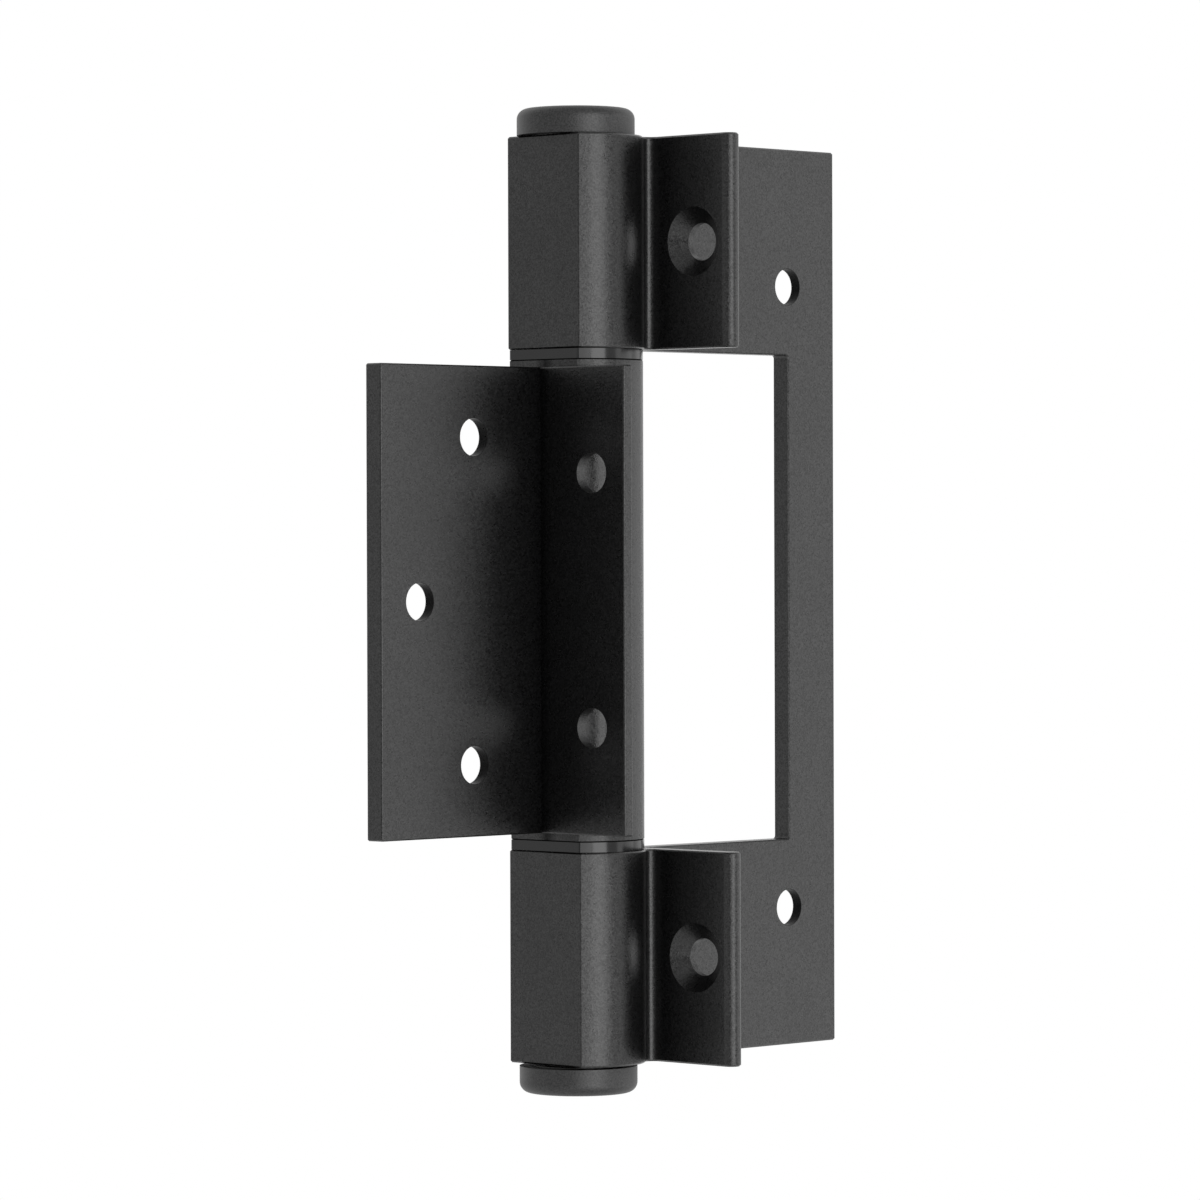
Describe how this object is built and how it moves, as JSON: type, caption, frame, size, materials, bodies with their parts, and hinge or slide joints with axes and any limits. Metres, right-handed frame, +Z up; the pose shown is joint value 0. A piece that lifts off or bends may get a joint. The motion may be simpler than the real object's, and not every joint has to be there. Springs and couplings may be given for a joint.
{
  "type": "bifold door hinge",
  "caption": "Bifold door hinge: two flanged leaves on a capped barrel, the wide leaf with a window that the short leaf nests in.",
  "frame": {"origin": "centre of the wide plate's two screw holes, on the face that lies on the door panel", "axes": "+X along the wide plate away from the barrel, +Y out of the door panel through the plate, +Z up along the pin"},
  "size_m": [0.0958, 0.0332, 0.1466],
  "materials": {
    "leaf_coat": "satin",
    "cap_plastic": "satin",
    "bush_plastic": "gloss",
    "pin_steel": "satin"
  },
  "bodies": {
    "rear_leaf_assembly": {"rear_leaf": "leaf_coat", "hinge_pin": "pin_steel", "upper_knuckle_bush": "bush_plastic", "lower_knuckle_bush": "bush_plastic", "top_cap": "cap_plastic", "bottom_cap": "cap_plastic"},
    "front_leaf_assembly": {"front_leaf": "leaf_coat", "middle_bush_upper": "bush_plastic", "middle_bush_lower": "bush_plastic"}
  },
  "joints": [
    {"name": "leaf_hinge", "type": "hinge", "parent": "rear_leaf_assembly", "child": "front_leaf_assembly", "pos_m": [-0.04405, 0.0027, 0], "axis": [0, 0, 1], "range_deg": [-180, 0]}
  ]
}
